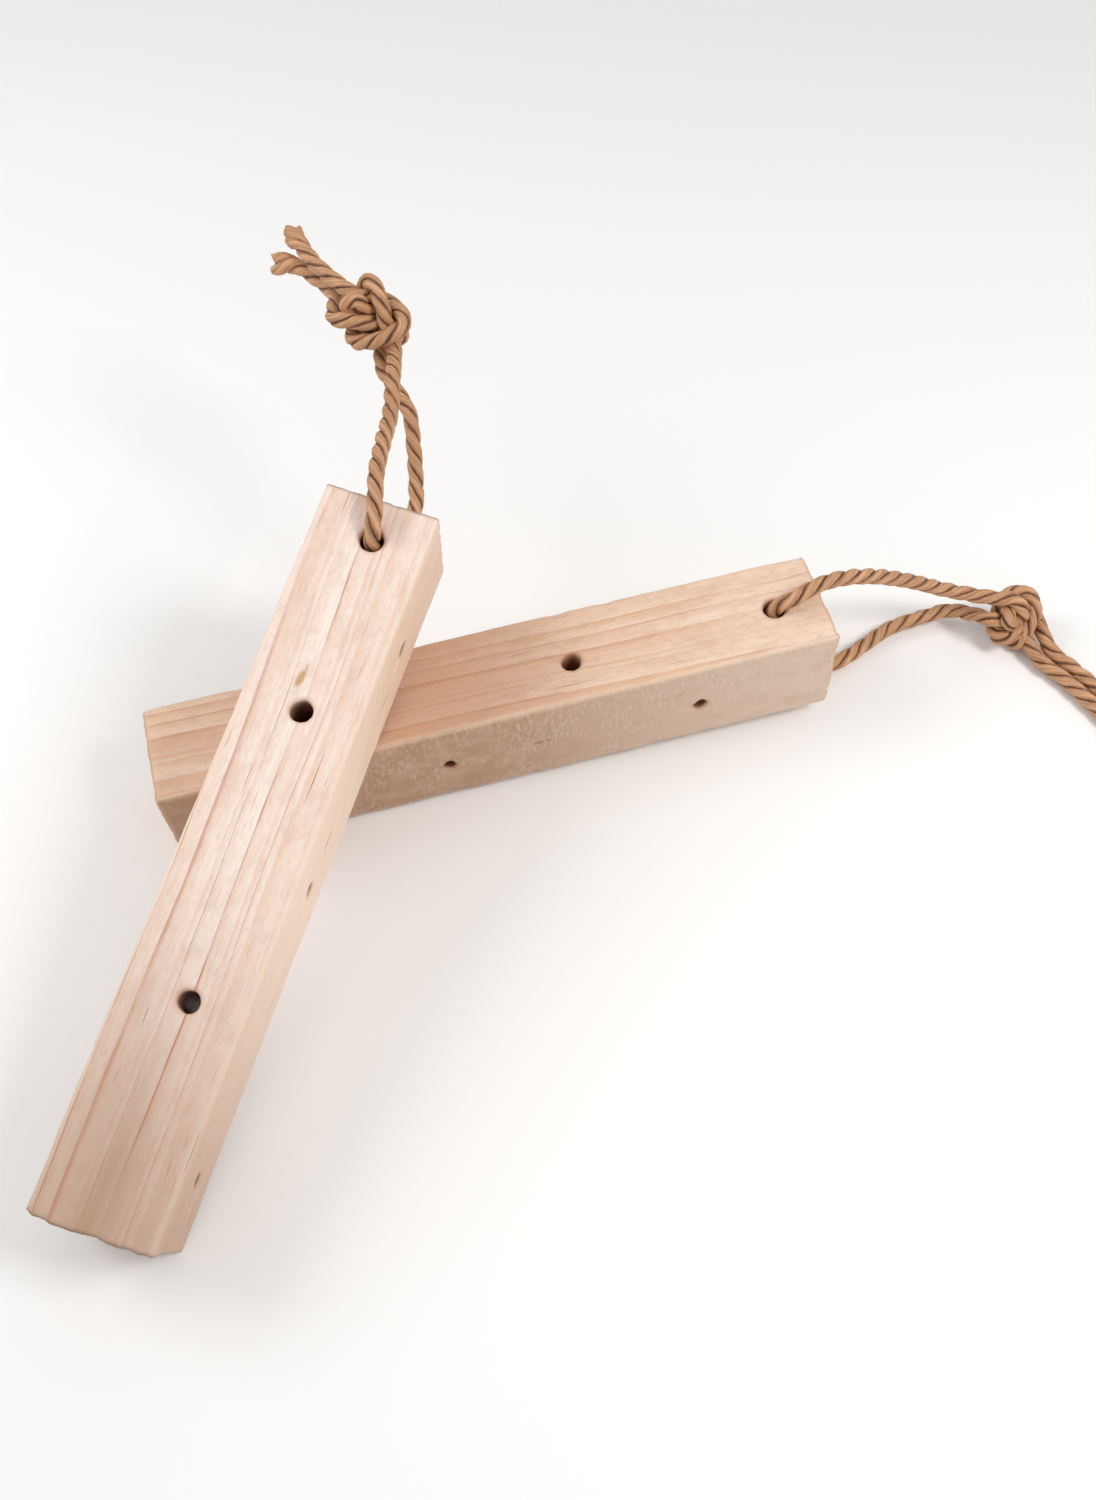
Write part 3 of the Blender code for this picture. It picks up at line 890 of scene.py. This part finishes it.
def fibres_group():
    """Fine streaks along the grain and a slow mottle, as tone and as height."""
    tree, given, result = new_group(
        "timber_fibres", [("Place", "Vector", None)],
        ["Streaks", "Mottle", "Pores", "Height"])
    s = Sheet(tree)
    place = given["Place"]
    fine = s.noise(s.stretch(place, (70.0, 3400.0, 3400.0)), 1.0, 3.0, 0.6)
    broad = s.noise(s.stretch(place, (35.0, 900.0, 900.0)), 1.0, 2.0)
    streaks = s.plus(s.times(fine, 0.6), s.times(broad, 0.4))
    s.link(s.ease(streaks, 0.30, 0.70), result["Streaks"])
    mottle = s.noise(s.stretch(place, (160.0, 260.0, 260.0)), 1.0, 4.0, 0.65)
    s.link(mottle, result["Mottle"])
    pores = s.noise(s.stretch(place, (480.0, 2400.0, 2400.0)), 1.0, 2.0)
    s.link(s.ease(pores, 0.42, 0.72), result["Pores"])
    height = s.plus(s.times(fine, 0.6), s.times(pores, 0.4))
    s.link(height, result["Height"])
    return tree


def saw_fuzz_group():
    """Short pale tufts of torn fibre, standing across the grain on a sawn face."""
    tree, given, result = new_group(
        "saw_fuzz",
        [("Place", "Vector", None), ("Amount", "Float", 1.0), ("Cover", "Float", 0.0)],
        ["Tufts"])
    s = Sheet(tree)
    tufts = s.noise(s.stretch(given["Place"], (1300.0, 800.0, 420.0)), 1.0, 3.0, 0.65, 0.4)
    patches = s.noise(s.stretch(given["Place"], (55.0, 60.0, 120.0), (0.3, 0.1, 0.7)), 1.0, 2.0)
    patches = s.plus(patches, given["Cover"])
    mask = s.times(s.ease(tufts, 0.44, 0.66), s.ease(patches, 0.30, 0.66))
    s.link(s.times(mask, given["Amount"]), result["Tufts"])
    return tree


def clave_place(sheet, matrix):
    """Coordinates in the clave's own frame."""
    coordinates = sheet.add("TexCoord", out="Object")
    return sheet.add("Mapping", {"Vector": coordinates, "Location": matrix.to_translation(),
                                 "Rotation": matrix.to_euler()}, vector_type="TEXTURE")


def start_material(name):
    """A new material, the sheet of its tree and its shader."""
    material = bpy.data.materials.new(name)
    material.use_nodes = True
    tree = material.node_tree
    return material, Sheet(tree), tree.nodes["Principled BSDF"]


def pine(name, matrix, effects, look):
    """Planed pine: pale early wood, thin latewood lines, fibre streaks, worn arrises."""
    material, s, shader = start_material(name)
    place = clave_place(s, matrix)
    rings = use_group(s, effects["rings"], {"Place": place, "Rings per metre": look["rings"],
                                            "Slope": look["slope"], "Bow": look["bow"],
                                            "Shift": look["shift"]})
    fibres = use_group(s, effects["fibres"], {"Place": place})
    x, y, z = s.split(place)
    cover = s.times(s.ease(z, 0.004, 0.022, 0.0, 0.30), s.ease(x, -0.02, 0.060))
    fuzz = use_group(s, effects["fuzz"], {"Place": place, "Amount": look["fuzz"], "Cover": cover})
    colour = s.blend(rings["Bands"], look["pale"], look["warm"])
    # Painted light: the lower bar's top lighter towards its cord end, nearer the lamp.
    colour = s.blend(s.ease(x, 0.030, 0.072, 0.0, look["cord_end_light"]), colour, look["pale"])
    # Painted shadow: the lower bar darker just beside the crossing, where the upper bar shades it;
    # the upper bar has none.
    crossing_shadow = s.ease(x, 0.034, -0.012, 0.0, look["crossing_shadow_tint"])
    crossing_shadow = s.times(s.ease(x, -0.062, -0.036), crossing_shadow)
    colour = s.blend(crossing_shadow, colour, look["dusky"])
    mottle = s.ease(fibres["Mottle"], 0.42, 0.72)
    colour = s.blend(s.times(mottle, 0.30), colour, look["dusky"])
    colour = s.blend(s.times(fibres["Streaks"], 0.22), colour, look["streak"])
    colour = s.blend(s.times(fibres["Pores"], 0.20), colour, look["streak"])
    # Painted light and shade on the side faces, mixed with their own sawn tone: painted shade on
    # the lower bar's front, lighter towards the cord end, and a lit side on the upper bar.
    side = s.ease(s.math("ABSOLUTE", y), HALF_SIDE - 0.0007, HALF_SIDE - 0.0002)
    side_light_and_shade = s.blend(s.ease(x, -0.02, 0.075), look["side"], look["side_shading_cord_end"])
    patches = s.ease(fibres["Mottle"], 0.40, 0.66, 0.0, 0.5)
    side_light_and_shade = s.blend(patches, side_light_and_shade, look["side_mottle"])
    colour = s.blend(s.times(side, look["side_shading_strength"]), colour, side_light_and_shade)
    # Darker towards the free end, in patches: partly the wood's own darker tone, partly painted
    # shade where less light reaches; strong on the upper bar.
    free_end_patchiness = s.noise(s.stretch(place, (6.0, 75.0, 40.0)), 1.0, 2.0)
    far = s.ease(x, 0.0, -0.085, 0.0, look["far_tint"])
    far = s.times(far, s.ease(free_end_patchiness, 0.38, 0.62, 0.70, 1.0))
    colour = s.blend(far, colour, look["far"])
    quiet = s.minus(1.0, s.times(side, look["side_quiet"]))
    lines = s.times(s.times(rings["Lines"], quiet), look["line_strength"])
    colour = s.blend(lines, colour, look["line"])
    colour = s.blend(s.times(rings["Dashes"], 0.75), colour, look["dash"])
    tufts = s.times(fuzz["Tufts"], s.ease(y, 0.0012 - HALF_SIDE, 0.0004 - HALF_SIDE))
    tufts = s.times(tufts, s.ease(x, -0.040, 0.060, 0.55, 1.0))
    colour = s.blend(tufts, colour, look["tuft"])
    if look["resin"]:
        colour = resin_spot(s, place, colour, look["resin"])
    worn = s.minus(0.42, s.times(far, 0.34))
    worn = s.times(s.attribute("arris"), worn)
    colour = s.blend(worn, colour, look["worn"])
    colour = s.blend(s.times(s.attribute("end_cut"), 0.75), colour, look["end"])
    colour = s.blend(s.times(s.attribute("rim"), 0.40), colour, look["streak"])
    # Painted shade down the holes: darker the deeper a point lies, towards a dark reddish brown.
    inside = s.ease(s.attribute("depth"), 0.02, 0.8)
    colour = s.blend(s.times(inside, 0.85), colour, look["hole_shade"])
    s.link(colour, shader.inputs["Base Color"])
    sheen = s.plus(s.times(fibres["Mottle"], 0.16), look["roughness"] - 0.08)
    sheen = s.plus(sheen, s.times(side, 0.08))
    s.link(sheen, shader.inputs["Roughness"])
    relief = s.minus(fibres["Height"], s.times(lines, 0.5))
    relief = s.plus(relief, s.times(tufts, 1.2))
    normal = s.add("Bump", {"Height": relief, "Strength": 0.55, "Distance": 0.00010})
    s.link(normal, shader.inputs["Normal"])
    shader.inputs["Specular IOR Level"].default_value = 0.42
    return material


def resin_spot(s, place, colour, spot):
    """A brown resin streak beside a hole: a soft spindle with a ragged outline."""
    (along, across), (length, width), stain = spot
    centred = s.add("Mapping", {"Vector": place, "Location": (along, across, BAR_SIDE),
                                "Rotation": (0.0, 0.0, radians(-9)),
                                "Scale": (length / 2, width / 2, 0.004)}, vector_type="TEXTURE")
    reach = s.add("VectorMath", {0: centred}, out="Value", operation="LENGTH")
    ragged = s.noise(s.stretch(place, (500.0, 1500.0, 900.0)), 1.0, 2.0)
    reach = s.plus(reach, s.times(s.minus(ragged, 0.5), 1.1))
    return s.blend(s.times(s.ease(reach, 1.0, 0.35), 0.85), colour, stain)


def paper_cord():
    """Twisted kraft paper: fibre lines along the folds, and painted shade darkening the grooves
    between the plies.
    """
    material, s, shader = start_material("paper_cord")
    lay = s.add("UVMap", uv_map="lay")
    folds = s.noise(s.stretch(lay, (9.0, 90.0, 1.0)), 1.0, 3.0, 0.6)
    lines = s.noise(s.stretch(lay, (34.0, 260.0, 1.0)), 1.0, 2.0, 0.6, 0.5)
    place = s.add("TexCoord", out="Object")
    patches = s.noise(place, 240.0, 3.0, 0.55)
    colour = s.blend(s.ease(folds, 0.30, 0.70), tone("aa7852"), tone("deae85"))
    colour = s.blend(s.times(s.ease(lines, 0.50, 0.72), 0.50), colour, tone("8a5c3c"))
    colour = s.blend(s.times(s.ease(patches, 0.45, 0.70), 0.35), colour, tone("aa7b56"))
    # Painted shade between the plies: a soft darkening with depth, then a near black-brown deep in
    # the grooves.
    crease_shade = s.attribute("groove_shade")
    colour = s.blend(s.ease(crease_shade, 0.0, 0.50, 0.0, 0.60), colour, tone("8c5b3a"))
    groove_shade = s.ease(crease_shade, 0.16, 1.0)
    colour = s.blend(s.times(groove_shade, 0.90), colour, tone("3d1f0f"))
    s.link(colour, shader.inputs["Base Color"])
    rough = s.ease(folds, 0.3, 0.7, 0.50, 0.68)
    s.link(rough, shader.inputs["Roughness"])
    height = s.plus(s.times(folds, 0.8), s.times(lines, 0.6))
    normal = s.add("Bump", {"Height": height, "Strength": 0.7, "Distance": 0.00012})
    s.link(normal, shader.inputs["Normal"])
    return material


# In both looks, painted light and shade: the side colours and their strength, the tint beside the
# crossing, the colour down the holes, the lightening towards the cord end, and in part the
# darkening towards the free end.
LOWER_LOOK = {
    "rings": 300.0, "slope": 0.020, "bow": 2.0, "shift": 0.0130, "fuzz": 0.75, "far_tint": 0.10,
    "cord_end_light": 0.65, "crossing_shadow_tint": 0.60,
    "pale": tone("f4dcc8"), "warm": tone("e5bd9f"), "dusky": tone("c99a7c"),
    "streak": tone("bf8b67"),
    "side": tone("aa856c"), "side_shading_cord_end": tone("d6bda9"), "side_mottle": tone("c6aa96"),
    "side_shading_strength": 0.85, "side_quiet": 0.90, "line": tone("b06f48"), "line_strength": 0.44,
    "dash": tone("9a5f42"), "tuft": tone("d8c3b0"), "worn": tone("eed3b8"), "far": tone("c29274"),
    "end": tone("c99a74"), "hole_shade": tone("7a4630"), "roughness": 0.56, "resin": None,
}
UPPER_LOOK = {
    "rings": 340.0, "slope": -0.024, "bow": 3.0, "shift": 0.0030, "fuzz": 0.15, "far_tint": 0.97,
    "cord_end_light": 0.0, "crossing_shadow_tint": 0.0,
    "pale": tone("fbeee4"), "warm": tone("f1d8c8"), "dusky": tone("d3ae96"),
    "streak": tone("cf9f80"),
    "side": tone("f6d9bf"), "side_shading_cord_end": tone("dfbb9e"), "side_mottle": tone("f5dfcb"),
    "side_shading_strength": 0.60, "side_quiet": 0.85, "line": tone("ad6647"), "line_strength": 0.80,
    "dash": tone("8e553a"), "tuft": tone("ecd9c4"), "worn": tone("f6e4d0"), "far": tone("ab8369"),
    "end": tone("8f6b4c"), "hole_shade": tone("7a4630"), "roughness": 0.50,
    "resin": ((0.0355, 0.0022), (0.0074, 0.0022), tone("c3935f")),
}


# Putting it together

lower = clave_matrix("lower_free_end", "lower_cord_swivel")
upper = clave_matrix("upper_free_end", "upper_cord_swivel")

set_camera()
light_studio()
lay_floor()

effects = {"rings": growth_rings_group(), "fibres": fibres_group(), "fuzz": saw_fuzz_group()}
cord_finish = paper_cord()

tied = draw_tight(KNOT_CORD)
camera_place = Vector(CAMERA_PLACE)
lower_view = (lower.inverted() @ camera_place - Vector(LOWER_KNOT)).normalized()
upper_view = (upper.inverted() @ camera_place - Vector(UPPER_KNOT)).normalized()
lower_knot = {"strands": tied, "centre": LOWER_KNOT, "along": (0.95, -0.31, 0.0),
              "facing": lower_view, "roll": radians(180), "squash": (0.68, -1.0, 0.94),
              "bend": radians(-36), "trims": (0.0110, 0.0068)}
upper_knot = {"strands": tied, "centre": UPPER_KNOT, "along": (0.86, 0.51, 0.0),
              "facing": upper_view, "roll": radians(318), "squash": (0.92, 1.20, 0.95),
              "bend": radians(26), "trims": (0.0110, 0.0078)}
make_cord("lower", lower, LOWER_LOOP_ROUTE, LOWER_BORE_POINT,
          LOWER_TAIL_ROUTES, lower_knot, clear=(0.0140, 0.0120), flare=0.5, finish=cord_finish)
make_cord("upper", upper, UPPER_LOOP_ROUTE, UPPER_BORE_POINT,
          UPPER_TAIL_ROUTES, upper_knot, clear=(0.0165, 0.0115), flare=0.65, finish=cord_finish)

make_bar("lower_bar_timber", "lower_clave", lower, LOWER_CORD_HOLE, LOWER_FACE_HOLES,
         LOWER_SIDE_HOLES, torn_end=0.0, fuzz=0.00006, seed=41,
         finish=pine("orange_pine", lower, effects, LOWER_LOOK))
make_bar("upper_bar_timber", "upper_clave", upper, UPPER_CORD_HOLE, UPPER_FACE_HOLES,
         UPPER_SIDE_HOLES, torn_end=0.00055, fuzz=0.0, seed=73,
         finish=pine("pale_pine", upper, effects, UPPER_LOOK))
